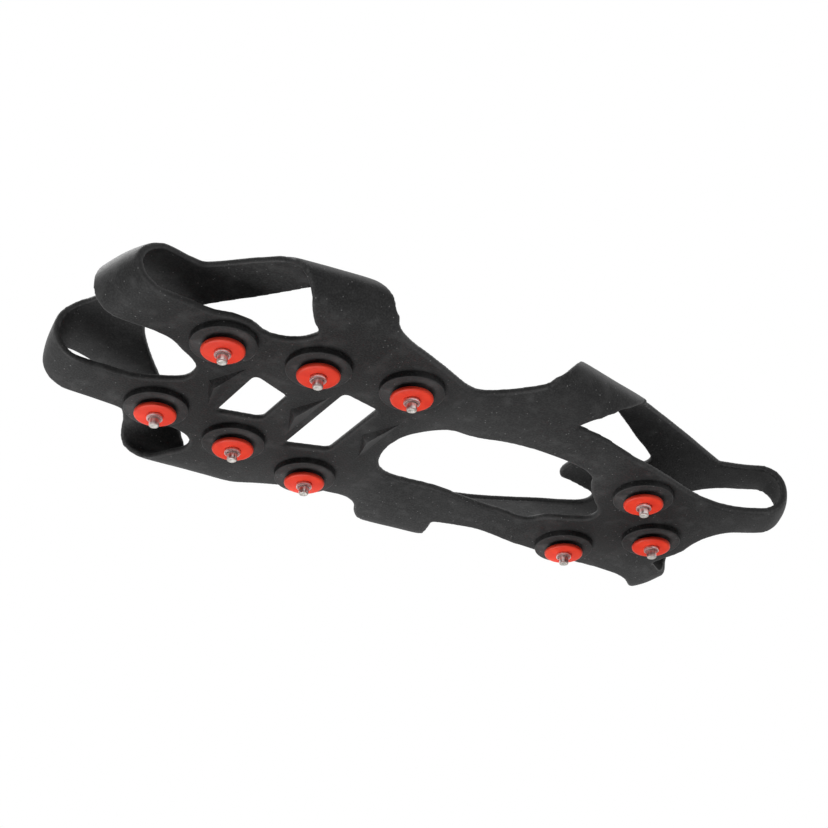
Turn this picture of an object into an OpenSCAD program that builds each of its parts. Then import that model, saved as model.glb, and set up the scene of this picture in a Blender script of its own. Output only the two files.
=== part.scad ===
// Slip-on ice cleat: a one-piece rubber overshoe harness with nine round
// studs in its sole. It stands on its stud tips: +Z is up, +X runs to the
// toe, and the origin is under the middle of its length.

/* [Studs] */
// Diameter of the red plastic disc
disc_d = 13; // [11:0.5:16]
// Thickness of the red plastic disc
disc_h = 1.5; // [1:0.1:2]
// Diameter of the disc's sleeve inside the rubber
sleeve_d = 7.4; // [6.6:0.1:8.4]
// Outer diameter of the steel collar
collar_d = 4.8; // [4.4:0.1:5.4]
// Length of collar that stands out of the disc
collar_reach = 0.6; // [0.3:0.1:1.2]
// Diameter of the carbide pin
pin_d = 3.1; // [2.4:0.1:3.4]
// Distance from the disc's face to the pin's tip
pin_reach = 2.9; // [2.4:0.1:4]
// Length of pin held in the collar
pin_seat = 3.8; // [2.5:0.1:4.2]
// Diameter of the backing plate under the shoe
plate_d = 12; // [10:0.5:14]
// Thickness of the backing plate
plate_h = 1.2; // [0.8:0.1:1.5]

/* [Stud layout] */
// Distance from the heel pair to the toe pair
toe_x = 156.4; // [150:0.5:164]
// Pitch of the three forefoot pairs
row_pitch = 29.25; // [27:0.25:31]
// Half the spacing of the toe pair
toe_half = 21.2; // [20:0.2:23]
// Half the spacing of the middle pair
mid_half = 25.6; // [24:0.2:28]
// Half the spacing of the ball pair
ball_half = 31; // [28:0.5:33]
// Half the spacing of the heel pair
heel_half = 21.1; // [20:0.2:23]
// Distance from the heel pair back to the last stud
heel_back = 21.2; // [20:0.2:24]

/* [Rubber harness] */
// Thickness of the rubber sheet
sheet_t = 2.2; // [2:0.1:3]
// Diameter of the raised boss round each stud
boss_d = 20; // [17:0.5:21]
// Height of a boss below the sole
boss_h = 2; // [1.6:0.1:3]
// Clear height under the toe straps
toe_clear = 14; // [12:0.5:17]
// Clear height under the front side straps
side_clear = 10.5; // [8:0.5:12]
// Clear height under the heel straps
rear_clear = 14; // [11:0.5:18]
// Rise of the waist above the rest of the sole
arch_rise = 2.5; // [1:0.25:4]
// Reach of the toe straps past the toe pair
toe_reach = 38.6; // [36:0.1:42]
// Reach of the heel straps along their own slant
heel_reach = 61.4; // [58:0.2:65]
// Half the width over the front side straps
front_side = 58; // [55:0.5:61]
// Half the width over the rear side straps
rear_side = 57; // [54:0.5:60]
// Height of the three sole ribs
rib_h = 1.8; // [1:0.1:2.4]
// Half the span of a sole rib
rib_half = 11.6; // [9:0.2:12.5]

/* [Fits] */
// Gap between a disc and its boss
disc_gap = 1.4; // [0.3:0.1:2]
// Radial running clearance of a stud in the rubber
run_clear = 0.05; // [0.02:0.01:0.09]
// Gap between faces that turn past each other
face_gap = 0.3; // [0.2:0.05:0.5]
// Radial room round a backing plate
plate_clear = 0.3; // [0.2:0.05:0.6]

/* [Hidden] */
$fn = 64;
eps = 1;

// Heights, from the pin tips up
disc_z = pin_reach;
boss_z = disc_z + disc_h + disc_gap;
sole_z = boss_z + boss_h;
sole_top = sole_z + sheet_t;
plate_z = sole_top - plate_h;
recess_z = plate_z - face_gap;
toe_roof_z = sole_top + toe_clear;
side_roof_z = sole_top + side_clear;
rear_roof_z = sole_top + rear_clear;
overall_h = max(toe_roof_z, rear_roof_z) + sheet_t;

// Stud places, [x, y], with x from the heel pair: near row, far row, heel
x_toe = toe_x;
x_mid = x_toe - row_pitch;
x_ball = x_mid - row_pitch;
studs = [
    [x_toe, toe_half], [x_mid, mid_half], [x_ball, ball_half],
    [x_toe, -toe_half], [x_mid, -mid_half], [x_ball, -ball_half],
    [0, heel_half], [0, -heel_half], [-heel_back, 0]];
front_studs = [0, 1, 2, 3, 4, 5];
rear_studs = [6, 7, 8];
stud_count = len(studs);

// Strap folds: a half ring whose straight legs lie in the sole and the roof,
// which both stop a tuck short of the ring and an inset inside its ends
toe_fold_r = (toe_roof_z + sheet_t - sole_z) / 2;
side_fold_r = (side_roof_z + sheet_t - sole_z) / 2;
heel_fold_r = (rear_roof_z + sheet_t - sole_z) / 2;
waist_fold_r = heel_fold_r - arch_rise / 2;
leg = 2.5;
tuck = 1;
inset = 0.5;
toe_turn = atan2(7, 24);
toe_w = 19.5;
toe_y = 21;
toe_foot = x_toe + toe_reach - toe_fold_r * cos(toe_turn) - toe_w / 2 * sin(toe_turn);
side_base = front_side - side_fold_r;
side_w = 28;
side_lean = [6.5, 12];
side_x = x_mid + 4.4;
rear_turn = atan2(237, 3116);
rear_w = 29;
rear_lean = [-19, -19.5];
rear_x = 53.3;
rear_y = rear_side - waist_fold_r - rear_w / 2 * sin(rear_turn);
heel_turn = atan2(336, 527);
heel_in = -7;
heel_out = 7.5;
heel_base = heel_reach - heel_fold_r;

// The roof over the toes rises between these places
toe_ramp = [x_toe + 7.6, x_toe + 19.6];

// Cutting shapes reach past the rubber on every side
past_toe = x_toe + 90;
past_heel = -100;
past_side = 100;

// Waist: the rear half bends about a line across the two legs
hinge_x = 78;
ramp_front = [70, 87];
ramp_rear = [12, 30];
slope = arch_rise / (ramp_front[1] - ramp_front[0]);
hinge_z = sole_z + sheet_t / 2 + (ramp_front[1] - hinge_x) * slope;
bead_r = sheet_t / 2 + 0.25;
open_rear = [19, 17];
open_front = [69, 16];
open_half = 19.5;

// The whole part is shifted so that its origin is under its middle
heel_tip = heel_reach * cos(heel_turn) - heel_in * sin(heel_turn);
x_shift = -(x_toe + toe_reach - heel_tip) / 2;

stud_pieces = ["disc", "collar", "pin", "plate"];
function stud_node(piece, i) = str("stud_", i + 1, "_", piece);

// Points of a quadratic curve from a to c, drawn towards b
function bend(a, b, c, n = 6) =
    [for (i = [0:n]) let (t = i / n)
        (1 - t) * (1 - t) * a + 2 * t * (1 - t) * b + t * t * c];

// A point given along a strap's slant and across it, behind the heel pair
function heel_point(along, across) = [
    -along * cos(heel_turn) + across * sin(heel_turn),
    along * sin(heel_turn) + across * cos(heel_turn)];

// A point given along a toe fold's slant and across it, from its foot
function toe_point(along, across) = [
    toe_foot + along * cos(toe_turn) - across * sin(toe_turn),
    toe_y + along * sin(toe_turn) + across * cos(toe_turn)];

// A front side fold's front or rear corner, at the sole or the roof
function side_corner(front, at_roof) =
    [side_x + (front ? side_w / 2 - inset : inset - side_w / 2)
        + (at_roof ? side_lean[front ? 0 : 1] : 0), side_base - tuck];

// A rear side fold's front or rear corner, at the sole or the roof
function rear_corner(front, at_roof) =
    [rear_x, rear_y] - tuck * [-sin(rear_turn), cos(rear_turn)]
    + ((front ? rear_w / 2 - inset : inset - rear_w / 2)
        + (at_roof ? rear_lean[front ? 0 : 1] : 0))
    * [cos(rear_turn), sin(rear_turn)];

// Half outline of the sole, from the toe gap round to the heel
sole_half = concat(
    bend([x_toe - 1.4, 0], [x_toe - 1, 4.4], [x_toe + 7.4, 9], 4),
    bend([x_toe + 10, 10.8], [x_toe + 13, 12.8], [x_toe + 18, 12.8], 4),
    [toe_point(-tuck, inset - toe_w / 2), toe_point(-tuck, toe_w / 2 - inset)],
    bend([x_toe + 14, 31.2], [x_toe + 1.6, toe_half + 13], [x_toe - 7, 31]),
    bend([x_toe - 12, 30.6], [x_toe - 19.4, 31.4], [x_toe - 19.4, 40]),
    [side_corner(true, false), side_corner(false, false)],
    bend([side_x - side_w / 2 - 3, side_base - 1.5], [x_ball, 46],
        [hinge_x + 6, 38.4], 8),
    bend([hinge_x, 38.8], [hinge_x - 6, 41], rear_corner(true, false), 5),
    [rear_corner(false, false)],
    bend([rear_x - rear_w / 2 + 1, 38.5], [10, heel_half + 13],
        [-13, heel_half + 9.5], 8),
    bend([-20, heel_half + 8], heel_point(42, heel_out + 2),
        heel_point(heel_base - tuck, heel_out), 6),
    [heel_point(heel_base - tuck, heel_in)],
    bend(heel_point(44, heel_in - 1), [-heel_back - 17, 14],
        [-heel_back - 16.8, 5], 6),
    [[-heel_back - 16.8, 0]]);

// Half outline of the roof over the toes, a V-shaped band
toe_roof_half = concat(
    [[x_toe + 28.2, 0], [x_toe + 29.4, 5],
        toe_point(-tuck, inset - toe_w / 2), toe_point(-tuck, toe_w / 2 - inset)],
    bend([x_toe + 14, 34.5], [x_toe + 6, 42], [x_toe - 1, side_base - tuck]),
    [side_corner(true, true), side_corner(false, true)],
    bend([x_mid + 9, side_base - 5], [x_mid + 15, side_base - 11],
        [x_toe - 5.7, 30.6], 4),
    bend([x_toe + 5.1, 18], [x_toe + 15.6, 4], [x_toe + 15.6, 0], 5));

// Half outline of the roof over the heel, a V-shaped band with a pull tongue
tongue_half = 9;
tongue_x = 13;
notch_x = -6;
heel_roof_half = concat(
    [[tongue_x, 0]],
    bend([tongue_x, 5], [tongue_x, tongue_half - 1.5], [tongue_x - 4, tongue_half - 0.8], 4),
    [[notch_x + 3, tongue_half]],
    bend([notch_x, tongue_half + 3], [notch_x - 1, 15], [notch_x + 2, 20], 5),
    bend([14, 31], [30, 37.5], rear_corner(true, true), 6),
    [rear_corner(false, true)],
    bend([12.8, 43.6], [-15, 35], heel_point(44, heel_out + 4), 6),
    [heel_point(heel_base - tuck, heel_out), heel_point(heel_base - tuck, heel_in)],
    bend(heel_point(43, heel_in + 2), [-30, 17], [-30, 9], 5),
    [[-30, 0]]);

module both_sides() {
    children();
    mirror([0, 1, 0]) children();
}

module two_halves(half) {
    both_sides() polygon(half);
}

// A window with straight edges that tapers to the rear; its front and rear
// edges each run from a far to a near y
module window(front, rear, front_y, rear_y) {
    cut = 2;
    polygon([
        [front, front_y[0] + cut], [front, front_y[1] - cut],
        [front - cut, front_y[1] - 0.6], [rear + cut, rear_y[1] + 0.6],
        [rear, rear_y[1] - cut], [rear, rear_y[0] + cut],
        [rear + cut, rear_y[0] - 0.6], [front - cut, front_y[0] + 0.6]]);
}

module waist_opening() {
    translate([open_rear[0], 0]) circle(open_rear[1]);
    translate([open_front[0], 0]) circle(open_front[1]);
    side = bend([open_rear[0], open_rear[1]],
        [(open_rear[0] + open_front[0]) / 2 - 6, 2 * open_half - 16.5],
        [open_front[0], open_front[1]], 6);
    polygon(concat(side, [for (i = [len(side) - 1:-1:0]) [side[i][0], -side[i][1]]]));
}

module sole_plan() {
    difference() {
        two_halves(sole_half);
        waist_opening();
        window(x_toe - 17.1, x_mid - 1.5, [-15, 9.5], [-11, 5]);
        window(x_mid - 14.7, x_ball + 1.2, [-20, 16.5], [-15, 14]);
    }
}

// Side view of the sole sheet: flat, with the waist raised between two ramps
module sole_profile(z) {
    polygon([
        [past_heel, z], [ramp_rear[0], z], [ramp_rear[1], z + arch_rise],
        [ramp_front[0], z + arch_rise], [ramp_front[1], z], [past_toe, z],
        [past_toe, z + sheet_t], [ramp_front[1], z + sheet_t],
        [ramp_front[0], z + sheet_t + arch_rise],
        [ramp_rear[1], z + sheet_t + arch_rise],
        [ramp_rear[0], z + sheet_t], [past_heel, z + sheet_t]]);
}

module sole_sheet(from, to) {
    intersection() {
        linear_extrude(overall_h) intersection() {
            sole_plan();
            translate([from, -past_side]) square([to - from, 2 * past_side]);
        }
        translate([0, past_side, 0]) rotate([90, 0, 0])
            linear_extrude(2 * past_side) sole_profile(sole_z);
    }
}

module heel_roof() {
    translate([0, 0, rear_roof_z]) linear_extrude(sheet_t) two_halves(heel_roof_half);
}

// Side view of the roof over the toes: it rises to the toe straps
module toe_roof_profile() {
    under = [[0, side_roof_z], [toe_ramp[0], side_roof_z], [toe_ramp[1], toe_roof_z],
        [past_toe, toe_roof_z]];
    polygon(concat(under, [for (i = [len(under) - 1:-1:0]) under[i] + [0, sheet_t]]));
}

module toe_roof() {
    intersection() {
        linear_extrude(overall_h + eps) two_halves(toe_roof_half);
        translate([0, past_side, 0]) rotate([90, 0, 0])
            linear_extrude(2 * past_side) toe_roof_profile();
    }
}

// A fold w wide: its legs start at the origin, and it turns up towards +X
module fold(r, w) {
    rotate([90, 0, 0]) translate([0, r, -w / 2]) linear_extrude(w) {
        difference() {
            circle(r);
            circle(r - sheet_t);
            translate([-2 * r, -2 * r]) square([2 * r, 4 * r]);
        }
        translate([-leg, -r]) square([leg, sheet_t]);
        translate([-leg, r - sheet_t]) square([leg, sheet_t]);
    }
}

// The same fold with slanted edges: its front and rear top corners are moved
// forward by the two leans
module slanted_fold(r, w, lean) {
    intersection() {
        fold(r, 3 * w);
        rotate([90, 0, 90]) translate([0, 0, -2 * r]) linear_extrude(4 * r)
            polygon([[-w / 2, 0], [w / 2, 0],
                [w / 2 - lean[1], 2 * r], [-w / 2 - lean[0], 2 * r]]);
    }
}

module toe_fold() {
    translate([toe_foot, toe_y, sole_z])
        rotate([0, 0, toe_turn]) fold(toe_fold_r, toe_w);
}

module front_side_fold() {
    translate([side_x, side_base, sole_z])
        rotate([0, 0, 90]) slanted_fold(side_fold_r, side_w, side_lean);
}

module rear_side_fold() {
    translate([rear_x, rear_y, sole_z + arch_rise])
        rotate([0, 0, 90 + rear_turn]) slanted_fold(waist_fold_r, rear_w, rear_lean);
}

module heel_fold() {
    foot = heel_point(heel_base, (heel_in + heel_out) / 2);
    translate([foot[0], foot[1], sole_z])
        rotate([0, 0, 180 - heel_turn]) fold(heel_fold_r, heel_out - heel_in);
}

module boss(p) {
    translate([p[0], p[1], boss_z]) cylinder(d = boss_d, h = boss_h + sheet_t / 2);
}

// The bore for a stud's sleeve, and the seat for its backing plate above it
module stud_bore(p) {
    translate([p[0], p[1], boss_z - eps])
        cylinder(d = sleeve_d + 2 * run_clear, h = boss_h + sheet_t + 2 * eps);
    translate([p[0], p[1], recess_z])
        cylinder(d = plate_d + 2 * plate_clear, h = sole_top - recess_z + eps);
}

// An arrow-shaped grip rib that points to the toe
module rib(x) {
    translate([x, 0, sole_z - rib_h])
        linear_extrude(rib_h + sheet_t / 2)
            polygon([[6, 0], [0, rib_half], [-0.9, rib_half - 1],
                [1.4, 0], [-0.9, 1 - rib_half], [0, -rib_half]]);
}

module hinge_bar(r) {
    translate([hinge_x, 60, hinge_z]) rotate([90, 0, 0]) cylinder(r = r, h = 120);
}

module harness_front() {
    color([0.13, 0.13, 0.14]) translate([x_shift, 0, 0]) difference() {
        union() {
            sole_sheet(hinge_x, past_toe);
            intersection() {
                hinge_bar(bead_r);
                linear_extrude(overall_h) intersection() {
                    sole_plan();
                    translate([hinge_x - 5, -past_side]) square([10, 2 * past_side]);
                }
            }
            both_sides() {
                toe_fold();
                front_side_fold();
            }
            toe_roof();
            for (i = front_studs) boss(studs[i]);
            for (x = [x_toe - 12.8, x_mid - 11.6, x_ball - 7.9]) rib(x);
        }
        for (i = front_studs) stud_bore(studs[i]);
    }
}

module harness_rear() {
    color([0.13, 0.13, 0.14]) translate([x_shift, 0, 0]) difference() {
        union() {
            sole_sheet(past_heel, hinge_x);
            both_sides() {
                rear_side_fold();
                heel_fold();
            }
            heel_roof();
            for (i = rear_studs) boss(studs[i]);
        }
        hinge_bar(bead_r + face_gap);
        for (i = rear_studs) stud_bore(studs[i]);
    }
}

module at_stud(i) {
    translate([studs[i][0] + x_shift, studs[i][1], 0]) children();
}

// Red plastic disc with the sleeve that passes through the rubber
module stud_disc(i) {
    rim = 0.4;
    color([0.93, 0.25, 0.16]) at_stud(i) difference() {
        union() {
            translate([0, 0, disc_z])
                cylinder(d1 = disc_d - 2 * rim, d2 = disc_d, h = rim);
            translate([0, 0, disc_z + rim]) cylinder(d = disc_d, h = disc_h - rim);
            translate([0, 0, disc_z + rim]) cylinder(d = sleeve_d, h = plate_z - disc_z - rim);
        }
        translate([0, 0, disc_z - eps]) cylinder(d = collar_d, h = sole_top);
    }
}

// Steel collar, a tube that holds the pin
module stud_collar(i) {
    bottom = disc_z - collar_reach;
    color([0.72, 0.72, 0.72]) at_stud(i) difference() {
        translate([0, 0, bottom]) cylinder(d = collar_d, h = sole_top - bottom);
        translate([0, 0, bottom - eps]) cylinder(d = pin_d, h = eps + collar_reach + pin_seat);
    }
}

// Carbide pin with a chamfered tip
module stud_pin(i) {
    chamfer = 0.35;
    color([0.45, 0.42, 0.4]) at_stud(i) {
        cylinder(d1 = pin_d - 2 * chamfer, d2 = pin_d, h = chamfer);
        translate([0, 0, chamfer]) cylinder(d = pin_d, h = disc_z + pin_seat - chamfer);
    }
}

// Backing plate, flush with the top of the sole
module stud_plate(i) {
    color([0.2, 0.2, 0.21]) at_stud(i) translate([0, 0, plate_z]) difference() {
        cylinder(d = plate_d, h = plate_h);
        translate([0, 0, -eps]) cylinder(d = collar_d, h = plate_h + 2 * eps);
    }
}

harness_front();
harness_rear();
for (i = [0:stud_count - 1]) {
    stud_disc(i);
    stud_collar(i);
    stud_pin(i);
    stud_plate(i);
}
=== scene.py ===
import math

import bpy
import numpy as np
from mathutils import Matrix, Vector


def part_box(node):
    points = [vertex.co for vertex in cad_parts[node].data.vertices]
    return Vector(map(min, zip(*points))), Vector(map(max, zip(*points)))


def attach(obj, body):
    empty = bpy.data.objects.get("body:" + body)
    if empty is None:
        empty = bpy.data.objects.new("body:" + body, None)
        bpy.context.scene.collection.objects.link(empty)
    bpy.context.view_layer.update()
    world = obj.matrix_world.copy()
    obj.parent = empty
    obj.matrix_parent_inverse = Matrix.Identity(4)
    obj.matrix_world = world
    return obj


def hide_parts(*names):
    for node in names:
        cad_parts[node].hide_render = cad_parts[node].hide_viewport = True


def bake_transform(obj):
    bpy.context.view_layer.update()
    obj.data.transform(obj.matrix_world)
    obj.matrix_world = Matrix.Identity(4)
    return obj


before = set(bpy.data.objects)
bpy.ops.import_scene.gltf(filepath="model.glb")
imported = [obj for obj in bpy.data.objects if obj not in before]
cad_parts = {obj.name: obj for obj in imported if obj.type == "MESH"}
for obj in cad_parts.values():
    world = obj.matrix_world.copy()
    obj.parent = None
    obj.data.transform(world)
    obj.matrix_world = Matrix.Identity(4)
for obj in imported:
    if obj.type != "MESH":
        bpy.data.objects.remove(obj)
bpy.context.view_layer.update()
mm = 0.001

# places that the frame gives
studCount = 9
plateBoxes = [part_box(f"stud_{n}_plate") for n in range(1, studCount + 1)]
studSpots = [(low + high) / 2 for low, high in plateBoxes]
heelX = studSpots[6].x                                  # outlines count x from the heel pair
soleTop = plateBoxes[0][1].z
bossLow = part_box("harness_front")[0].z
print("frame: heel pair at", round(heelX, 4), "sole top at", round(soleTop, 4))


def deselectAll():
    if bpy.context.object and bpy.context.object.mode != "OBJECT":
        bpy.ops.object.mode_set(mode="OBJECT")
    bpy.ops.object.select_all(action="DESELECT")


def pick(piece):
    deselectAll()
    piece.select_set(True)
    bpy.context.view_layer.objects.active = piece


def mend(piece, gap=1e-6):
    pick(piece)
    bpy.ops.object.mode_set(mode="EDIT")
    bpy.ops.mesh.select_all(action="SELECT")
    bpy.ops.mesh.remove_doubles(threshold=gap)
    bpy.ops.mesh.normals_make_consistent(inside=False)
    bpy.ops.object.mode_set(mode="OBJECT")


def useModifier(piece, kind, **settings):
    pick(piece)
    change = piece.modifiers.new(kind.lower(), kind)
    for name, value in settings.items():
        setattr(change, name, value)
    bpy.ops.object.modifier_apply(modifier=change.name)


def combine(piece, tool, how):
    useModifier(piece, "BOOLEAN", operation=how, object=tool, solver="EXACT")
    bpy.data.objects.remove(tool)


def ease(value, low, high):
    t = np.clip((value - low) / (high - low), 0, 1)
    return t * t * (3 - 2 * t)


# smooth closed outlines, filled and given a height; a third number marks a sharp corner
def drawLoops(name, loops, low, high, rim=0.0):
    deselectAll()
    bpy.ops.curve.primitive_bezier_circle_add(radius=mm)
    line = bpy.context.object
    line.name = name
    shape = line.data
    shape.dimensions = "2D"
    shape.fill_mode = "BOTH"
    shape.resolution_u = 10
    shape.splines.clear()
    for loop in loops:
        spline = shape.splines.new("BEZIER")
        spline.bezier_points.add(len(loop) - 1)
        spline.use_cyclic_u = True
        for point, place in zip(spline.bezier_points, loop):
            point.co = (heelX + place[0] * mm, place[1] * mm, 0)
        for point, place in zip(spline.bezier_points, loop):
            kind = "VECTOR" if len(place) > 2 else "AUTO"
            point.handle_left_type = kind
            point.handle_right_type = kind
    shape.extrude = (high - low) / 2 - rim
    shape.bevel_depth = rim
    shape.bevel_resolution = 7
    line.location.z = (low + high) / 2
    pick(line)
    bpy.ops.object.convert(target="MESH")
    bpy.ops.object.transform_apply(location=True, rotation=True, scale=True)
    mend(line)
    return line


harness = {
    "sheet": 2.2,                   # thickness of the rubber
    "voxel": 0.55,
    "smoothing": 10,                # rounds over the whole sheet
    "faces": 170000,                # triangles kept after smoothing
    "studZone": 12.5,               # this near a stud no faces are taken out
    "foldRadius": 9,
    "strapZone": (0, 165, 38),      # where the side straps fold: x from, x to and least y
    "wallReach": (3, 14),           # radii of a wall's block about the fold
    "wallShare": 4.8,               # the walls' height up and down from the fold's middle
    "sideGap": (-15, 158, 80),      # the sides that only walls close: x from, x to and y
    "corners": (6.4, 3.6, 14),      # strap corners: out from the fold, reach, rounds of smoothing
    "sideTop": 22.5,                # roof heights: over the side straps, the toes and the heel
    "toeTop": (27.3, 24.9, 32),     # on the middle line, at the strap's outer edge, and that edge's y
    "toeRamp": (166, 186),
    "heelTop": 27,
    "heelRamp": (110, 60),
    "waistRise": 2.5,
    "waistRamps": [(12, 30), (87, 70)],
    "windows": [                    # front and rear x, then the y range at each
        (139.3, 125.7, (-15, 9.5), (-11, 5)),
        (112.4, 99, (-20, 16.5), (-15, 14))],
    "root": 1,                      # bosses and ribs start this far below the sole's upper face
    "bossRadius": 9.85,
    "bossRim": 0.35,
    "bore": 3.75,
    "recess": (6.3, 1.5),           # radius and depth of a backing plate's seat
    "cutRoom": 4,                   # how far seats and bores are cut past the rubber
    "merge": 0.03,                  # corners closer than this become one
    "sharp": 35,                    # edges past this angle stay sharp
    "ribs": [149.7, 121.6, 95.6],   # front tips of the sole's grip ribs
    "ribSize": (1.8, 4.3, 11.8, 2.2),   # from peak to front and to rear, half width, height
}

# where the straps' folds begin to turn up, right round the harness
foldLine = [
    (187.6, 0), (186.2, 10.8), (181.4, 30), (178, 35), (170, 40.5), (160, 44.8), (150, 46.9), (138, 49),
    (126, 50.6), (116, 50.5), (105, 48.6), (85, 47), (67, 48.6), (60, 48), (50, 46.4), (35, 43.6),
    (27, 42.2), (20, 41), (13, 40.8), (5, 40), (-7, 38), (-17, 37), (-30, 36.6), (-40.6, 33.8),
    (-48.6, 22.6), (-51, 10), (-51, 0), (-47, -9), (-41.3, -18), (-37.5, -32.8), (-30, -36), (-17, -37),
    (-7, -38.4), (7, -41.6), (16, -43.2), (26, -43.6), (35, -44.6), (50, -46.6), (60, -48), (67, -48.6),
    (85, -47), (105, -48), (120, -48), (130, -48.8), (143, -50.2), (151, -50.6), (160, -47.5), (170, -41),
    (178, -34.5), (181.6, -29), (186.2, -10.8)]

# the sole's edge, from the toe gap down the near side to the heel and back up the far side
soleLine = [
    (155.2, 0), (156, 3.4), (158.4, 6), (163.4, 9), (169, 12.3), (174, 13.2), (180, 13.2), (186, 13.1),
    (206, 13, 1), (206, 32, 1), (190, 32), (180, 31.8), (172, 31.4), (165, 31.2), (158.7, 32.8),
    (153, 32.4), (148, 30.4), (143, 30.8), (138.3, 33.6), (136.1, 36.8), (135.7, 39), (137, 41),
    (139.2, 43), (142.2, 46.8), (144.6, 50.4), (146, 52.8), (146.4, 54.4, 1), (119.2, 57, 1),
    (118.5, 55.4), (116.9, 53.6), (114.7, 52.1), (110, 49.8), (103.8, 47.7), (95.3, 44.7), (86.3, 41.1),
    (82, 39.5), (78.5, 38.6), (75.4, 39.1), (72, 40.8), (67.6, 45), (64.2, 49), (61.6, 52.4),
    (60.8, 54.6, 1), (34.6, 50, 1), (35.4, 48.6), (37, 47.2), (39, 45), (40.2, 41.3), (41.1, 38.4, 1),
    (32.4, 37.6), (22.5, 36.6), (11, 35.8), (0, 33.6), (-12, 30.6), (-20, 29.4), (-28, 29.8), (-34, 31.5),
    (-40, 34.8), (-46.6, 38.6), (-63.4, 49.3, 1), (-71.2, 37.1, 1), (-54.4, 26.4), (-46.4, 20.8),
    (-41, 16.8), (-38.2, 11.6), (-37, 5), (-37.6, -2), (-36.9, -6.4), (-35.6, -11), (-35.2, -15.2),
    (-38.9, -18), (-46.6, -22.2), (-54.4, -26.8), (-71.2, -37.1, 1), (-63.4, -49.3, 1), (-46.6, -38.6),
    (-38.8, -33.2), (-33.5, -29.9), (-22, -29), (-10, -30.2), (3, -31), (15, -31.6), (26.4, -33.8),
    (38, -37), (42.8, -38.8, 1), (41.2, -44), (39.8, -51.3, 1), (62.4, -54.8, 1), (63.4, -53),
    (66, -50.8), (68.6, -48), (70.8, -44.4), (74.8, -41), (81, -38.4), (86.8, -38.2), (93.6, -40.4),
    (102, -44), (107.8, -47), (113.4, -50.4), (116.8, -52.4), (119.8, -54.8, 1), (146.2, -57.2, 1),
    (145.4, -55), (142.6, -51), (139.4, -45.6), (136.8, -41), (136.8, -37.6), (138.6, -34.2),
    (143, -31.8), (148, -31.4), (152, -33), (158.7, -32.8), (164, -30.4), (172, -29.8), (180, -29.9),
    (190, -30.4), (206, -30.5, 1), (206, -12.8, 1), (186, -12.9), (180, -12.7), (173, -12.2),
    (168.3, -11.4), (162.8, -8.8), (158.4, -6.2), (156, -3.8)]

# the opening under the arch of the foot
waistHole = [
    (84.6, 0), (84.2, -5), (82.4, -10.5), (80.5, -14), (76.2, -18.8), (71.5, -21), (66.5, -20.8),
    (56, -19.2), (46.3, -19.3), (36, -19.5), (26.5, -18.8), (20, -17), (15.8, -10.2), (8.4, -5.8),
    (4.4, -3), (3.4, 0), (4.4, 3), (10.6, 8.7), (16, 14), (19.5, 18.8), (28.5, 20), (38.5, 20.2),
    (46.2, 19.6), (53.6, 18.2), (62.3, 15.3), (66.9, 14.6), (71.3, 14.3), (75.5, 13), (79.8, 10.4),
    (83.4, 6.2)]


# a window with straight edges and clipped corners
def windowLoop(front, rear, frontY, rearY, cut=1.1, drop=0.3):
    return [
        (front, frontY[0] + cut, 1), (front, frontY[1] - cut, 1), (front - cut, frontY[1] - drop, 1),
        (rear + cut, rearY[1] + drop, 1), (rear, rearY[1] - cut, 1), (rear, rearY[0] + cut, 1),
        (rear + cut, rearY[0] - drop, 1), (front - cut, frontY[0] + drop, 1)]


# the roof over the toes, a V-shaped band
toeRoof = [
    (184.6, 0), (186.4, 5), (190, 10.2), (194, 12.8), (206, 13, 1), (206, 32, 1), (188, 32), (180, 32.8),
    (174.5, 33), (171, 33.4, 1), (166.1, 38.1), (160.6, 43.5), (155.5, 48.2), (152.8, 51.6),
    (152.2, 53.6, 1), (126.4, 57, 1), (127.2, 55), (129.4, 52.6), (132.4, 49.8), (140.3, 42.6),
    (144.6, 37.2), (150.4, 30), (156.5, 23), (161.5, 17), (166, 11), (169.5, 5.5), (171.4, 0),
    (169.5, -5.5), (166, -11), (161.5, -17), (156.5, -23), (150.4, -30), (144.6, -37.2), (140.3, -43.2),
    (134.6, -50.2), (131.6, -53.6), (131, -55.8, 1), (151.8, -57.4, 1), (153.4, -53), (156, -49),
    (161, -43.6), (166.1, -38), (170.5, -32.4, 1), (174.5, -31), (180, -30.6), (188, -30.5),
    (206, -30.5, 1), (206, -12.8, 1), (194, -12.6), (190, -10.2), (186.4, -5)]

# the roof over the heel, a V-shaped band with a pull tongue
heelRoof = [
    (13.3, 0), (13.1, 4.5), (11, 8), (5.5, 8.8), (0, 9.8), (-4.6, 11), (-7.3, 14), (-7, 18), (-2.8, 21.5),
    (5.1, 25.8), (15.5, 32), (25.2, 37.3), (33, 40.6), (38, 43.2), (44, 47), (49.2, 51), (50, 53, 1),
    (19.2, 47.8, 1), (18.6, 46), (17, 44.6), (13.9, 43.3), (6.8, 41), (-7, 36.6), (-17, 33.2),
    (-28.2, 29.4, 1), (-38.1, 33.2), (-46.6, 38.6), (-63.4, 49.3, 1), (-71.2, 37.1, 1), (-54.4, 26.4),
    (-45.9, 21), (-38.5, 16.5), (-33, 10), (-31, 4), (-31, -4), (-33, -10), (-38.5, -16.5), (-45.9, -21),
    (-54.4, -26.4), (-71.2, -37.1, 1), (-63.4, -49.3, 1), (-46.6, -38.6), (-38.1, -33.2),
    (-28.2, -29.4, 1), (-17, -33.2), (-7, -36.6), (6.8, -41), (13.9, -43.4), (24, -46.4), (31, -48.4),
    (35.4, -50), (36, -51.4, 1), (50, -53.2, 1), (49.2, -51.2), (44, -47), (38, -43.2), (33, -40.6),
    (25.2, -37.3), (15.5, -32), (5.1, -25.8), (-2.8, -21.5), (-7, -18), (-7.3, -14), (-4.6, -11),
    (0, -9.8), (5.5, -8.8), (11, -8), (13.1, -4.5)]

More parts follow.
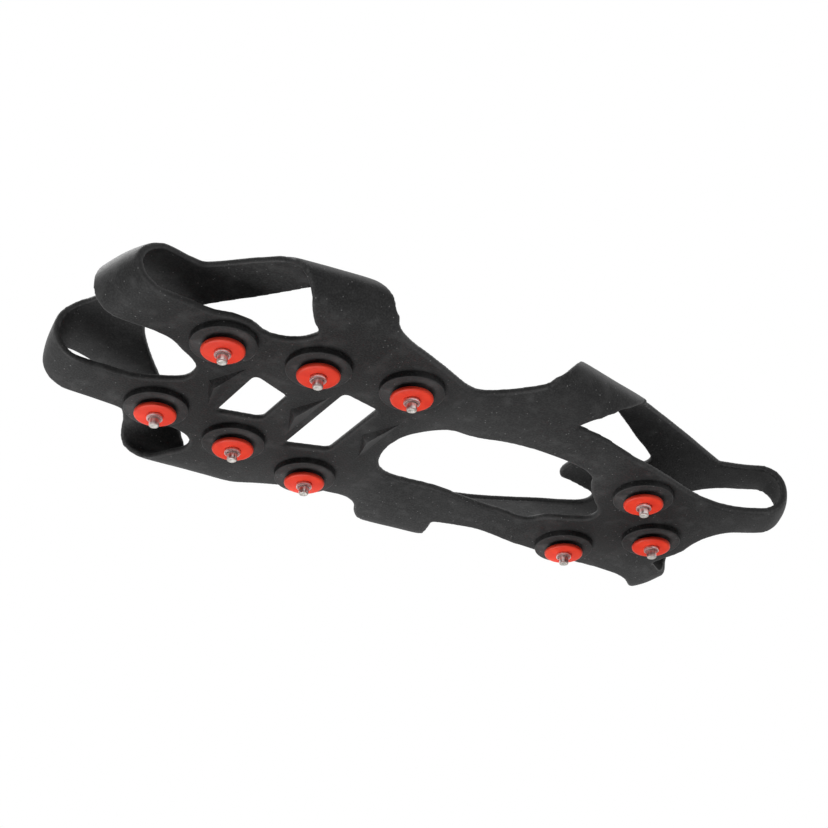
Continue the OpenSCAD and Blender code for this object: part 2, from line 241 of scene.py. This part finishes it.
# the leaning straps' edges seen from the side, (x, z), from the sole up round the fold
sideFront = [(146.3, 9.6, 1), (147.1, 11), (148.4, 12.8), (150.2, 16.8), (151.6, 20.9), (152.2, 24, 1)]
sideRear = [(119.2, 9.6, 1), (120.8, 11.6), (122.4, 14.4), (124.2, 19), (126.4, 24, 1)]
sideFar = [(119.8, 9.6, 1), (122.4, 12), (125, 15), (127.6, 19), (131, 24, 1)]
rearFront = [(60.8, 9.6, 1), (59.2, 11.8), (57.3, 14.4), (54.8, 18), (50, 24, 1)]
farFront = [(62.4, 9.6, 1), (60.4, 11.8), (57.6, 14.4), (54.2, 18), (50, 24, 1)]
rearNear = [(34.6, 9.6, 1), (32.4, 11.6), (29.4, 13.5), (25.2, 17.6), (19.2, 24, 1)]
rearFar = [(39.8, 9.6, 1), (39, 13.4), (38.2, 16.8), (37.4, 20), (36, 24, 1)]

# front edge, rear edge and side of each leaning strap
sideStraps = [
    (sideFront, sideRear, 1), (sideFront, sideFar, -1), (rearFront, rearNear, 1), (farFront, rearFar, -1)]


# the fold line's distance from the middle line beside the straps
def foldAt(x, side):
    rear, front, least = harness["strapZone"]
    spots = sorted((px, py * side) for px, py in foldLine if rear < px < front and py * side > least)
    return np.interp(x, [px for px, py in spots], [py for px, py in spots])


# a block round the fold, cut square to the sheet along a strap's two edges
def drawWall(front, rear, side):
    radius = harness["foldRadius"]
    middle = soleTop / mm - harness["sheet"] + radius
    inner, outer = harness["wallReach"]
    wall = drawLoops("sideKeep", [front + rear[::-1]], inner * mm, outer * mm)
    for vertex in wall.data.vertices:
        x, z, out = vertex.co
        turn = math.acos((middle - z / mm) / radius)
        across = foldAt((x - heelX) / mm, side) * mm + out * math.sin(turn)
        vertex.co = (x, side * across, middle * mm - out * math.cos(turn))
    mend(wall)
    return wall


# a flat pouch with round edges, cut down to the sole, the roofs and the walls of the straps
def shapeSheet():
    foldRadius = harness["foldRadius"] * mm
    soleLow = soleTop - harness["sheet"] * mm
    roofTop = soleLow + 2 * foldRadius
    middle = soleLow + foldRadius
    room = 5 * mm                                       # above and below the pouch
    lap = 0.05 * mm                                     # where sole and roof blocks meet
    windows = [windowLoop(*window) for window in harness["windows"]]
    pouch = drawLoops("rubberHarness", [foldLine], soleLow, roofTop, foldRadius)
    useModifier(pouch, "SOLIDIFY", thickness=harness["sheet"] * mm, offset=-1)
    keep = drawLoops("soleKeep", [soleLine, waistHole] + windows, soleLow - room, middle + lap)
    for name, loop in (("toeKeep", toeRoof), ("heelKeep", heelRoof)):
        combine(keep, drawLoops(name, [loop], middle - lap, roofTop + room), "UNION")
    half = harness["wallShare"] * mm
    low, high, wide = harness["sideGap"]
    gap = [(low, -wide, 1), (high, -wide, 1), (high, wide, 1), (low, wide, 1)]
    combine(keep, drawLoops("sideGaps", [gap], middle - half, middle + half), "DIFFERENCE")
    for front, rear, side in sideStraps:
        combine(keep, drawWall(front, rear, side), "UNION")
    combine(pouch, keep, "INTERSECT")
    return pouch


def readSpots(mesh):
    spots = np.zeros(len(mesh.vertices) * 3)
    mesh.vertices.foreach_get("co", spots)
    return spots.reshape(-1, 3)


# lifts the sole over the waist and brings the roof to its height
def bendSheet(piece):
    mesh = piece.data
    spots = readSpots(mesh)
    x = (spots[:, 0] - heelX) / mm
    y = np.abs(spots[:, 1]) / mm
    sheet = harness["sheet"] * mm
    roofTop = soleTop - sheet + 2 * harness["foldRadius"] * mm
    up = ease(spots[:, 2], soleTop, roofTop - sheet)
    rise = harness["waistRise"] * mm
    for low, high in harness["waistRamps"]:
        rise = rise * ease(x, low, high)
    middleTop, edgeTop, edge = harness["toeTop"]
    toeTop = middleTop - (middleTop - edgeTop) * (np.minimum(y, edge) / edge) ** 2
    top = harness["sideTop"] + (toeTop - harness["sideTop"]) * ease(x, *harness["toeRamp"])
    top = top + (harness["heelTop"] - top) * ease(x, *harness["heelRamp"])
    spots[:, 2] += rise * (1 - up) + (top * mm - roofTop) * up
    mesh.vertices.foreach_set("co", spots.ravel())
    mesh.update()


# names the part of a mesh that is near some places in plan
def markNear(piece, name, places, reach):
    spots = readSpots(piece.data)
    group = piece.vertex_groups.new(name=name)
    for x, y in places:
        away = np.hypot(spots[:, 0] - x, spots[:, 1] - y)
        group.add(np.nonzero(away < reach)[0].tolist(), 1, "REPLACE")


# rounds the places where a strap's wall leaves the sole or the roof
def softenCorners(piece):
    out, reach, rounds = harness["corners"]
    corners = []
    for front, rear, side in sideStraps:
        for x in (front[0][0], front[-1][0], rear[0][0], rear[-1][0]):
            corners.append((heelX + x * mm, side * (foldAt(x, side) + out) * mm))
    markNear(piece, "corners", corners, reach * mm)
    useModifier(piece, "SMOOTH", factor=0.5, iterations=rounds, vertex_group="corners")
    piece.vertex_groups.clear()


# fewer faces, except round the studs, where long faces would show
def thinOut(piece):
    markNear(piece, "studZones", [(spot.x, spot.y) for spot in studSpots], harness["studZone"] * mm)
    ratio = harness["faces"] / (2 * len(piece.data.polygons))
    useModifier(piece, "DECIMATE", ratio=ratio, vertex_group="studZones", invert_vertex_group=True)
    piece.vertex_groups.clear()


def makeHarness():
    piece = shapeSheet()
    print("harness: cut sheet has", len(piece.data.polygons), "faces")
    useModifier(piece, "REMESH", mode="VOXEL", voxel_size=harness["voxel"] * mm)
    bendSheet(piece)
    useModifier(piece, "SMOOTH", factor=0.5, iterations=harness["smoothing"])
    print("harness: remeshed to", len(piece.data.polygons), "faces")
    softenCorners(piece)
    thinOut(piece)
    for front in harness["ribs"]:
        combine(piece, addRib(front), "UNION")
    bossHigh = soleTop - harness["root"] * mm
    bosses = addRounds("bosses", harness["bossRadius"] * mm, bossLow, bossHigh, harness["bossRim"] * mm)
    combine(piece, bosses, "UNION")
    room = harness["cutRoom"] * mm
    radius, depth = harness["recess"]
    seats = addRounds("seats", radius * mm, soleTop - depth * mm, soleTop + room)
    combine(piece, seats, "DIFFERENCE")
    bores = addRounds("bores", harness["bore"] * mm, bossLow - room, soleTop + room)
    combine(piece, bores, "DIFFERENCE")
    mend(piece, harness["merge"] * mm)
    print("harness: with bosses", len(piece.data.polygons), "faces")
    pick(piece)
    bpy.ops.object.shade_smooth_by_angle(angle=math.radians(harness["sharp"]))
    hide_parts("harness_front", "harness_rear")
    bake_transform(piece)
    return piece


# a low arrow-shaped rib, a flat pyramid on the underside
def addRib(front):
    ahead, behind, half, height = harness["ribSize"]
    root = harness["root"]
    deselectAll()
    bpy.ops.mesh.primitive_cone_add(vertices=3, radius1=mm, depth=mm)
    rib = bpy.context.object
    base = soleTop - root * mm
    steep = (harness["sheet"] - root + height) / height     # the sides run on into the sheet
    tip = front - ahead
    rear = tip - behind * steep
    corners = [(tip + ahead * steep, 0), (rear, half * steep), (rear, -half * steep)]
    top = max(rib.data.vertices, key=lambda vertex: vertex.co.z)
    for vertex in rib.data.vertices:
        x, y = (tip, 0) if vertex == top else corners.pop()
        z = soleTop - (harness["sheet"] + height) * mm if vertex == top else base
        vertex.co = (heelX + x * mm, y * mm, z)
    mend(rib)
    return rib


# one short round bar at every stud, all in one mesh
def addRounds(name, radius, low, high, rim=0.0):
    parts = []
    for spot in studSpots:
        deselectAll()
        bpy.ops.mesh.primitive_cylinder_add(
            vertices=96, radius=radius, depth=high - low, location=(spot.x, spot.y, (low + high) / 2))
        parts.append(bpy.context.object)
    deselectAll()
    for part in parts:
        part.select_set(True)
    bpy.context.view_layer.objects.active = parts[0]
    bpy.ops.object.join()
    rounds = bpy.context.object
    rounds.name = name
    bpy.ops.object.transform_apply(location=True, rotation=True, scale=True)
    if rim:
        useModifier(rounds, "BEVEL", width=rim, segments=3, limit_method="ANGLE")
    return rounds


# a turned piece: (radius, z) profile in mm spun round the stud's own axis
def turnPiece(name, profile, steps=96):
    deselectAll()
    bpy.ops.curve.primitive_nurbs_path_add()
    line = bpy.context.object
    line.name = name
    shape = line.data
    shape.splines.clear()
    spline = shape.splines.new("POLY")
    spline.points.add(len(profile) - 1)
    spline.use_cyclic_u = profile[0][0] > 0
    for point, (radius, z) in zip(spline.points, profile):
        point.co = (radius * mm, 0, z * mm, 1)
    pick(line)
    bpy.ops.object.convert(target="MESH")
    useModifier(line, "SCREW", angle=2 * math.pi, steps=steps, render_steps=steps)
    mend(line)
    return line


discLow, discHigh = (corner.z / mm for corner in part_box("stud_1_disc"))
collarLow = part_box("stud_1_collar")[0].z / mm
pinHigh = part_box("stud_1_pin")[1].z / mm
plateLow = plateBoxes[0][0].z / mm
plateHigh = soleTop / mm
discBack = discLow + 1.85                               # heights of the disc's two faces
discFace = discLow + 0.55

# each piece of a stud as (radius, z) in mm
stud = {
    "disc": [
        (2.4, discHigh), (2.4, discFace + 0.1), (2.5, discFace), (3, discFace), (5.6, discFace + 0.02),
        (5.95, discFace + 0.07), (6.22, discFace + 0.18), (6.4, discFace + 0.34), (6.5, discFace + 0.6),
        (6.5, discBack - 0.35), (6.42, discBack - 0.12), (6.2, discBack), (3.7, discBack), (3.7, discHigh)],
    "collar": [
        (0, plateHigh - 0.12), (1.7, plateHigh - 0.12), (1.9, plateHigh - 0.02), (2.3, plateHigh - 0.02),
        (2.4, plateHigh - 0.1), (2.4, discFace), (2.52, discFace - 0.1), (2.52, collarLow + 0.3),
        (2.42, collarLow + 0.1), (2.28, collarLow), (1.98, collarLow), (1.88, collarLow + 0.06),
        (1.82, collarLow + 0.22), (1.7, collarLow + 0.3), (1.61, collarLow + 0.45), (1.61, pinHigh + 0.02),
        (0, pinHigh + 0.02)],
    "pin": [
        (0, 0.12), (0.5, 0.12), (0.68, 0.03), (1.25, 0), (1.4, 0.05), (1.52, 0.18), (1.58, 0.36), (1.6, 0.55),
        (1.6, pinHigh), (0, pinHigh)],
    "plate": [
        (2.42, plateHigh), (2.42, plateLow), (5.75, plateLow), (5.95, plateLow + 0.1), (6, plateLow + 0.3),
        (6, plateHigh - 0.3), (5.9, plateHigh - 0.08), (5.7, plateHigh), (4.4, plateHigh),
        (4.2, plateHigh - 0.2), (3.6, plateHigh - 0.2), (3.4, plateHigh)],
    "turns": [20, 145, 260, 75, 310, 200, -28, 100, 165],   # where each disc's nick points, in degrees
    "nickSpot": (6.62, 0, discLow + 0.5),
    "nickSize": (0.6, 2, 1.6),
    "sharp": 30,                                        # edges past this angle stay sharp
}


# the moulding nick in a disc's rim
def cutNick(disc):
    deselectAll()
    bpy.ops.mesh.primitive_cube_add(size=1, location=[place * mm for place in stud["nickSpot"]])
    nick = bpy.context.object
    nick.scale = [side * mm for side in stud["nickSize"]]
    bpy.ops.object.transform_apply(location=True, rotation=True, scale=True)
    combine(disc, nick, "DIFFERENCE")


def makeStuds(finishes):
    for part, finish in finishes.items():
        first = turnPiece("first" + part, stud[part])
        if part == "disc":
            cutNick(first)
        wear(first, finish)
        pick(first)
        bpy.ops.object.shade_smooth_by_angle(angle=math.radians(stud["sharp"]))
        for n, spot in enumerate(studSpots, 1):
            pick(first)
            bpy.ops.object.duplicate()
            piece = bpy.context.object
            piece.name = f"stud{n}{part.capitalize()}"
            piece.location = (spot.x, spot.y, 0)
            piece.rotation_euler = (0, 0, math.radians(stud["turns"][n - 1]))
            bpy.ops.object.transform_apply(location=True, rotation=True, scale=True)
            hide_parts(f"stud_{n}_{part}")
            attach(piece, f"stud_{n}")
        bpy.data.objects.remove(first)
    print("studs:", studCount, "of", len(finishes), "pieces each")


def wear(piece, material):
    piece.data.materials.clear()
    piece.data.materials.append(material)


def startMaterial(name, rough, metal=0.0, specular=0.5):
    material = bpy.data.materials.new(name)
    material.use_nodes = True
    shader = material.node_tree.nodes["Principled BSDF"]
    shader.inputs["Roughness"].default_value = rough
    shader.inputs["Metallic"].default_value = metal
    shader.inputs["Specular IOR Level"].default_value = specular
    return material


def grey(level):
    return (level, level, level)


def addNoise(material, scale, detail=3.0):
    nodes = material.node_tree.nodes
    noise = nodes.new("ShaderNodeTexNoise")
    noise.inputs["Scale"].default_value = scale
    noise.inputs["Detail"].default_value = detail
    place = nodes.get("Texture Coordinate") or nodes.new("ShaderNodeTexCoord")
    material.node_tree.links.new(place.outputs["Object"], noise.inputs["Vector"])
    return noise.outputs["Fac"]


def addRamp(material, value, stops):
    ramp = material.node_tree.nodes.new("ShaderNodeValToRGB")
    material.node_tree.links.new(value, ramp.inputs["Fac"])
    for item, (place, colour) in zip(ramp.color_ramp.elements, stops):
        item.position = place
        item.color = (*colour, 1)
    return ramp.outputs["Color"]


def mixColour(material, share, first, second):
    mix = material.node_tree.nodes.new("ShaderNodeMix")
    mix.data_type = "RGBA"
    links = material.node_tree.links
    links.new(share, mix.inputs["Factor"])
    links.new(first, mix.inputs[6])                     # the colour sockets A and B
    mix.inputs[7].default_value = (*second, 1)
    return mix.outputs[2]


def addMath(tree, how, first, second):
    node = tree.nodes.new("ShaderNodeMath")
    node.operation = how
    tree.links.new(first, node.inputs[0])
    tree.links.new(second, node.inputs[1])
    return node.outputs[0]


def mixShaders(tree, share, first, second):
    mix = tree.nodes.new("ShaderNodeMixShader")
    for socket, value in zip(mix.inputs, (share, first, second)):
        tree.links.new(value, socket)
    return mix.outputs[0]


def addBump(material, value, strength, distance):
    bump = material.node_tree.nodes.new("ShaderNodeBump")
    bump.inputs["Strength"].default_value = strength
    bump.inputs["Distance"].default_value = distance
    links = material.node_tree.links
    links.new(value, bump.inputs["Height"])
    shader = material.node_tree.nodes["Principled BSDF"]
    links.new(bump.outputs["Normal"], shader.inputs["Normal"])


def setColour(material, colour):
    shader = material.node_tree.nodes["Principled BSDF"]
    material.node_tree.links.new(colour, shader.inputs["Base Color"])


rubber = {
    "rough": 0.58,
    "specular": 0.16,
    "broad": (55, (0.008, 0.008, 0.0083), (0.015, 0.015, 0.0153)),  # scale, dark and light
    "grain": (1800, grey(0.034)),                       # scale and colour
    # painted highlight: this pale grey is mixed onto the rubber's sharpest convex edges
    "edge": grey(0.075),
    "scuff": (190, grey(0.05)),
    "dust": (640, grey(0.13)),
    "dustPatches": 300,
    "bump": (0.4, 0.0002),                              # strength and distance
}


# matte black rubber with a painted highlight along its convex edges, and grains of dust
def makeRubber():
    material = startMaterial("blackRubber", rubber["rough"], specular=rubber["specular"])
    nodes = material.node_tree.nodes
    links = material.node_tree.links
    scale, dark, light = rubber["broad"]
    colour = addRamp(material, addNoise(material, scale), [(0.3, dark), (0.72, light)])
    scale, tint = rubber["grain"]
    fine = addNoise(material, scale, 3)
    grain = addRamp(material, fine, [(0.4, grey(0)), (0.75, grey(0.7))])
    colour = mixColour(material, grain, colour, tint)
    shape = nodes.new("ShaderNodeNewGeometry")
    # painted highlight: edges with high pointiness are turned pale grey, as if lit
    edge = addRamp(material, shape.outputs["Pointiness"], [(0.515, grey(0)), (0.57, grey(1))])
    colour = mixColour(material, edge, colour, rubber["edge"])
    scale, tint = rubber["scuff"]
    scuff = addRamp(material, addNoise(material, scale, 8), [(0.52, grey(0)), (0.8, grey(0.6))])
    colour = mixColour(material, scuff, colour, tint)
    scale, tint = rubber["dust"]
    dust = nodes.new("ShaderNodeTexVoronoi")
    dust.inputs["Scale"].default_value = scale
    links.new(nodes["Texture Coordinate"].outputs["Object"], dust.inputs["Vector"])
    speck = addRamp(material, dust.outputs["Distance"], [(0.08, grey(1)), (0.16, grey(0))])
    patches = addNoise(material, rubber["dustPatches"], 1)
    few = addRamp(material, patches, [(0.5, grey(0)), (0.6, grey(1))])
    both = addMath(material.node_tree, "MULTIPLY", speck, few)
    setColour(material, mixColour(material, both, colour, tint))
    addBump(material, fine, *rubber["bump"])
    return material


redPlastic = {
    "rough": 0.4,
    "specular": 0.2,
    "mottle": (260, (0.64, 0.04, 0.019), (0.73, 0.058, 0.026)),     # scale, dark and light
    "grain": 900,
    "bump": (0.12, 0.0002),
}


def makeRed():
    material = startMaterial("redPlastic", redPlastic["rough"], specular=redPlastic["specular"])
    scale, dark, light = redPlastic["mottle"]
    setColour(material, addRamp(material, addNoise(material, scale), [(0.35, dark), (0.7, light)]))
    addBump(material, addNoise(material, redPlastic["grain"], 2), *redPlastic["bump"])
    return material


# name, dark, light, roughness and scale
metals = {
    "collar": ("collarSteel", grey(0.66), grey(0.8), 0.3, 500),
    "pin": ("pinSteel", (0.58, 0.56, 0.54), (0.76, 0.75, 0.73), 0.28, 700),
}


def makeMetal(name, dark, light, rough, scale):
    material = startMaterial(name, rough, metal=1.0)
    setColour(material, addRamp(material, addNoise(material, scale), [(0.3, dark), (0.7, light)]))
    addBump(material, addNoise(material, 4 * scale, 2), 0.1, 0.0001)
    return material


backing = {
    "rough": 0.55,
    "specular": 0.3,
    "mottle": (300, (0.04, 0.04, 0.042), (0.06, 0.06, 0.062)),      # scale, dark and light
    "grain": 1200,
    "bump": (0.15, 0.0002),
}


def makeBacking():
    material = startMaterial("backing", backing["rough"], specular=backing["specular"])
    scale, dark, light = backing["mottle"]
    setColour(material, addRamp(material, addNoise(material, scale), [(0.3, dark), (0.7, light)]))
    addBump(material, addNoise(material, backing["grain"], 2), *backing["bump"])
    return material


photoView = {
    "lens": 78.26,
    "sensor": 36,
    "nearest": 0.01,
    "place": (0.3471, 0.40885, -0.281),                 # from the heel pair
    "right": (-0.8287, 0.5596, 0.015),
    "up": (0.305, 0.4289, 0.8503),
    "ahead": (-0.4694, -0.7092, 0.5261),
}


def setCamera():
    lens = bpy.data.cameras.new("photoCamera")
    lens.lens = photoView["lens"]
    lens.sensor_width = photoView["sensor"]
    lens.clip_start = photoView["nearest"]
    camera = bpy.data.objects.new("photoCamera", lens)
    bpy.context.scene.collection.objects.link(camera)
    right = Vector(photoView["right"])
    up = Vector(photoView["up"])
    ahead = Vector(photoView["ahead"])
    turn = Matrix((right, up, -ahead)).transposed().to_4x4()
    x, y, z = photoView["place"]
    camera.matrix_world = Matrix.Translation((x + heelX, y, z)) @ turn
    bpy.context.scene.camera = camera


studio = {
    "dim": 0.25,                                        # what the world gives as light
    "lamps": [                                          # name, place, size and power
        ("lowKey", (0.1, -0.3, -0.8), 0.7, 8.5),
        ("lowFill", (-0.5, 0.35, -0.5), 0.6, 1),
        ("topKey", (0.3, -0.45, 0.8), 0.6, 8),
        ("topFill", (-0.5, 0.2, 0.9), 0.8, 4)],
}


# a world that looks white and lights softly, and four area lamps
def setLights():
    world = bpy.data.worlds.new("studio")
    bpy.context.scene.world = world
    world.use_nodes = True
    tree = world.node_tree
    shown = tree.nodes["Background"]
    dim = tree.nodes.new("ShaderNodeBackground")
    for sky, strength in ((shown, 1), (dim, studio["dim"])):
        sky.inputs["Color"].default_value = (1, 1, 1, 1)
        sky.inputs["Strength"].default_value = strength
    path = tree.nodes.new("ShaderNodeLightPath").outputs
    seen = addMath(tree, "MAXIMUM", path["Is Camera Ray"], path["Is Glossy Ray"])
    seen = addMath(tree, "MAXIMUM", seen, path["Is Transmission Ray"])
    mixed = mixShaders(tree, seen, dim.outputs[0], shown.outputs[0])
    tree.links.new(mixed, tree.nodes["World Output"].inputs["Surface"])
    for name, place, size, power in studio["lamps"]:
        lamp = bpy.data.lights.new(name, "AREA")
        lamp.size = size
        lamp.energy = power
        light = bpy.data.objects.new(name, lamp)
        bpy.context.scene.collection.objects.link(light)
        light.location = place
        light.rotation_euler = (-Vector(place)).to_track_quat("-Z", "Y").to_euler()
    bpy.context.scene.view_settings.view_transform = "Standard"


ground = {
    "size": 4,
    "colour": 0.9,
    "rough": 0.9,
    "glow": 0.5,                                        # share of plain white near the object
    "fade": (0.25, 1.2),                                # from here to here the floor turns all white
}


# a pale floor that is clear from below and lets the low lamps through
def makeFloor():
    deselectAll()
    bpy.ops.mesh.primitive_plane_add(size=ground["size"], location=(0, 0, 0))
    floor = bpy.context.object
    floor.name = "floor"
    material = startMaterial("paleFloor", ground["rough"])
    tree = material.node_tree
    matte = tree.nodes["Principled BSDF"]
    matte.inputs["Base Color"].default_value = (*grey(ground["colour"]), 1)
    white = tree.nodes.new("ShaderNodeEmission")
    clear = tree.nodes.new("ShaderNodeBsdfTransparent")
    side = tree.nodes.new("ShaderNodeNewGeometry")
    path = tree.nodes.new("ShaderNodeLightPath").outputs
    place = tree.nodes.new("ShaderNodeTexCoord")
    away = tree.nodes.new("ShaderNodeVectorMath")
    away.operation = "LENGTH"
    tree.links.new(place.outputs["Object"], away.inputs[0])
    fade = tree.nodes.new("ShaderNodeMapRange")
    start, end = ground["fade"]
    fade.inputs["From Min"].default_value = start
    fade.inputs["From Max"].default_value = end
    fade.inputs["To Min"].default_value = ground["glow"]
    tree.links.new(away.outputs["Value"], fade.inputs["Value"])
    share = addMath(tree, "MULTIPLY", path["Is Camera Ray"], fade.outputs[0])
    shown = mixShaders(tree, share, matte.outputs[0], white.outputs[0])
    through = addMath(tree, "MAXIMUM", side.outputs["Backfacing"], path["Is Shadow Ray"])
    mixed = mixShaders(tree, through, shown, clear.outputs[0])
    tree.links.new(mixed, tree.nodes["Material Output"].inputs["Surface"])
    wear(floor, material)


setCamera()
setLights()
makeFloor()
print("stage: camera, lamps and floor are set")
wear(makeHarness(), makeRubber())
makeStuds({
    "disc": makeRed(),
    "collar": makeMetal(*metals["collar"]),
    "pin": makeMetal(*metals["pin"]),
    "plate": makeBacking()})

bpy.context.view_layer.update()
